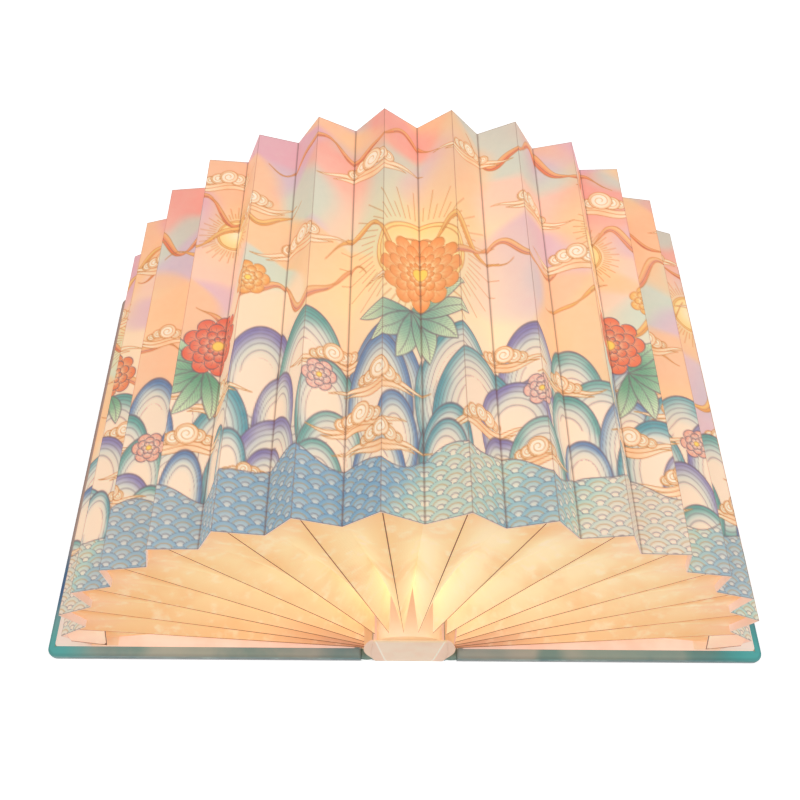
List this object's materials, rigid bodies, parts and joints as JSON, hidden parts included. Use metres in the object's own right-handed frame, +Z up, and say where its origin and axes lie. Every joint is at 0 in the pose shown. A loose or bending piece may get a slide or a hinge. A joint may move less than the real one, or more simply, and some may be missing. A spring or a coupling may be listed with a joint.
{
  "type": "folding book lamp",
  "caption": "Hard-cover book that opens flat and spreads a lit, pleated paper half-cylinder between its covers.",
  "frame": {"origin": "on the table, under the middle of the spine, with the book open flat", "axes": "+X across the open book to the right-hand cover, +Y along the spine away from the front, +Z up"},
  "size_m": [0.329, 0.21, 0.1458],
  "materials": {
    "board": "grey board",
    "wrap": "printed wrap, teal, satin laminate",
    "hinge_cloth": "wrap pressed into the groove",
    "end_sheet": "cream end sheet",
    "fan_paper": "printed pastel paper, lit from inside",
    "flap_paper": "pinkish white paper",
    "tape": "foam tape",
    "tray_plastic": "moulded white plastic",
    "diffuser": "opal plastic, lit",
    "circuit": "circuit board",
    "white_circuit": "white circuit board",
    "diode": "diode, lit",
    "cell": "foil pouch",
    "chip": "moulded black",
    "steel": "plated steel",
    "reed_glass": "green glass tube",
    "wire": "red insulation"
  },
  "bodies": {
    "spine": {"spine_board": "board", "spine_wrap": "wrap", "spine_liner": "end_sheet", "mounting_tape": "tape", "bar_tray": "tray_plastic", "bar_diffuser": "diffuser", "diode_board": "white_circuit", "diodes": "diode", "battery_cell": "cell", "control_board": "circuit", "control_chips": "chip", "charging_socket": "steel", "reed_switch": "reed_glass", "lead_wires": "wire", "board_screws": "steel", "front_flap": "flap_paper", "back_flap": "flap_paper", "hinge_cloth_right": "hinge_cloth", "hinge_cloth_left": "hinge_cloth"},
    "cover_right": {"cover_board_right": "board", "cover_wrap_right": "wrap", "end_sheet_right": "end_sheet", "glue_tab_right": "fan_paper", "sensor_magnet": "steel"},
    "cover_left": {"cover_board_left": "board", "cover_wrap_left": "wrap", "end_sheet_left": "end_sheet", "glue_tab_left": "fan_paper"},
    "fold_right_1": {"pleat_right_1": "fan_paper"},
    "fold_right_2": {"pleat_right_2": "fan_paper"},
    "fold_right_3": {"pleat_right_3": "fan_paper"},
    "fold_right_4": {"pleat_right_4": "fan_paper"},
    "fold_right_5": {"pleat_right_5": "fan_paper"},
    "fold_right_6": {"pleat_right_6": "fan_paper"},
    "fold_right_7": {"pleat_right_7": "fan_paper"},
    "fold_right_8": {"pleat_right_8": "fan_paper"},
    "fold_left_1": {"pleat_left_1": "fan_paper"},
    "fold_left_2": {"pleat_left_2": "fan_paper"},
    "fold_left_3": {"pleat_left_3": "fan_paper"},
    "fold_left_4": {"pleat_left_4": "fan_paper"},
    "fold_left_5": {"pleat_left_5": "fan_paper"},
    "fold_left_6": {"pleat_left_6": "fan_paper"},
    "fold_left_7": {"pleat_left_7": "fan_paper"},
    "fold_left_8": {"pleat_left_8": "fan_paper"}
  },
  "joints": [
    {"name": "cover_right_hinge", "type": "hinge", "parent": "spine", "child": "cover_right", "pos_m": [0.0195, 0, 0.0015], "axis": [0, -1, 0], "range_deg": [0, 90], "deforming": ["hinge_cloth_right"]},
    {"name": "cover_left_hinge", "type": "hinge", "parent": "spine", "child": "cover_left", "pos_m": [-0.0195, 0, 0.0015], "axis": [0, 1, 0], "range_deg": [0, 90], "deforming": ["hinge_cloth_left"]},
    {"name": "fold_right_1_hinge", "type": "hinge", "parent": "spine", "child": "fold_right_1", "pos_m": [0.00109, 0, 0.0035], "axis": [0, -1, 0], "range_deg": [0, 5.62], "deforming": ["pleat_right_1"]},
    {"name": "fold_right_2_hinge", "type": "hinge", "parent": "spine", "child": "fold_right_2", "pos_m": [0.00328, 0, 0.0035], "axis": [0, -1, 0], "range_deg": [0, 16.88], "deforming": ["pleat_right_2"]},
    {"name": "fold_right_3_hinge", "type": "hinge", "parent": "spine", "child": "fold_right_3", "pos_m": [0.00547, 0, 0.0035], "axis": [0, -1, 0], "range_deg": [0, 28.12], "deforming": ["pleat_right_3"]},
    {"name": "fold_right_4_hinge", "type": "hinge", "parent": "spine", "child": "fold_right_4", "pos_m": [0.00766, 0, 0.0035], "axis": [0, -1, 0], "range_deg": [0, 39.38], "deforming": ["pleat_right_4"]},
    {"name": "fold_right_5_hinge", "type": "hinge", "parent": "spine", "child": "fold_right_5", "pos_m": [0.00984, 0, 0.0035], "axis": [0, -1, 0], "range_deg": [0, 50.62], "deforming": ["pleat_right_5"]},
    {"name": "fold_right_6_hinge", "type": "hinge", "parent": "spine", "child": "fold_right_6", "pos_m": [0.01203, 0, 0.0035], "axis": [0, -1, 0], "range_deg": [0, 61.88], "deforming": ["pleat_right_6"]},
    {"name": "fold_right_7_hinge", "type": "hinge", "parent": "spine", "child": "fold_right_7", "pos_m": [0.01422, 0, 0.0035], "axis": [0, -1, 0], "range_deg": [0, 73.12], "deforming": ["pleat_right_7"]},
    {"name": "fold_right_8_hinge", "type": "hinge", "parent": "spine", "child": "fold_right_8", "pos_m": [0.01641, 0, 0.0035], "axis": [0, -1, 0], "range_deg": [0, 84.38], "deforming": ["pleat_right_8"]},
    {"name": "fold_left_1_hinge", "type": "hinge", "parent": "spine", "child": "fold_left_1", "pos_m": [-0.00109, 0, 0.0035], "axis": [0, 1, 0], "range_deg": [0, 5.62], "deforming": ["pleat_left_1"]},
    {"name": "fold_left_2_hinge", "type": "hinge", "parent": "spine", "child": "fold_left_2", "pos_m": [-0.00328, 0, 0.0035], "axis": [0, 1, 0], "range_deg": [0, 16.88], "deforming": ["pleat_left_2"]},
    {"name": "fold_left_3_hinge", "type": "hinge", "parent": "spine", "child": "fold_left_3", "pos_m": [-0.00547, 0, 0.0035], "axis": [0, 1, 0], "range_deg": [0, 28.12], "deforming": ["pleat_left_3"]},
    {"name": "fold_left_4_hinge", "type": "hinge", "parent": "spine", "child": "fold_left_4", "pos_m": [-0.00766, 0, 0.0035], "axis": [0, 1, 0], "range_deg": [0, 39.38], "deforming": ["pleat_left_4"]},
    {"name": "fold_left_5_hinge", "type": "hinge", "parent": "spine", "child": "fold_left_5", "pos_m": [-0.00984, 0, 0.0035], "axis": [0, 1, 0], "range_deg": [0, 50.62], "deforming": ["pleat_left_5"]},
    {"name": "fold_left_6_hinge", "type": "hinge", "parent": "spine", "child": "fold_left_6", "pos_m": [-0.01203, 0, 0.0035], "axis": [0, 1, 0], "range_deg": [0, 61.88], "deforming": ["pleat_left_6"]},
    {"name": "fold_left_7_hinge", "type": "hinge", "parent": "spine", "child": "fold_left_7", "pos_m": [-0.01422, 0, 0.0035], "axis": [0, 1, 0], "range_deg": [0, 73.12], "deforming": ["pleat_left_7"]},
    {"name": "fold_left_8_hinge", "type": "hinge", "parent": "spine", "child": "fold_left_8", "pos_m": [-0.01641, 0, 0.0035], "axis": [0, 1, 0], "range_deg": [0, 84.38], "deforming": ["pleat_left_8"]}
  ],
  "couplings": [
    {"joint": "fold_right_1_hinge", "follows": "cover_right_hinge", "ratio": 0.0625},
    {"joint": "fold_right_2_hinge", "follows": "cover_right_hinge", "ratio": 0.1875},
    {"joint": "fold_right_3_hinge", "follows": "cover_right_hinge", "ratio": 0.3125},
    {"joint": "fold_right_4_hinge", "follows": "cover_right_hinge", "ratio": 0.4375},
    {"joint": "fold_right_5_hinge", "follows": "cover_right_hinge", "ratio": 0.5625},
    {"joint": "fold_right_6_hinge", "follows": "cover_right_hinge", "ratio": 0.6875},
    {"joint": "fold_right_7_hinge", "follows": "cover_right_hinge", "ratio": 0.8125},
    {"joint": "fold_right_8_hinge", "follows": "cover_right_hinge", "ratio": 0.9375},
    {"joint": "fold_left_1_hinge", "follows": "cover_left_hinge", "ratio": 0.0625},
    {"joint": "fold_left_2_hinge", "follows": "cover_left_hinge", "ratio": 0.1875},
    {"joint": "fold_left_3_hinge", "follows": "cover_left_hinge", "ratio": 0.3125},
    {"joint": "fold_left_4_hinge", "follows": "cover_left_hinge", "ratio": 0.4375},
    {"joint": "fold_left_5_hinge", "follows": "cover_left_hinge", "ratio": 0.5625},
    {"joint": "fold_left_6_hinge", "follows": "cover_left_hinge", "ratio": 0.6875},
    {"joint": "fold_left_7_hinge", "follows": "cover_left_hinge", "ratio": 0.8125},
    {"joint": "fold_left_8_hinge", "follows": "cover_left_hinge", "ratio": 0.9375}
  ]
}
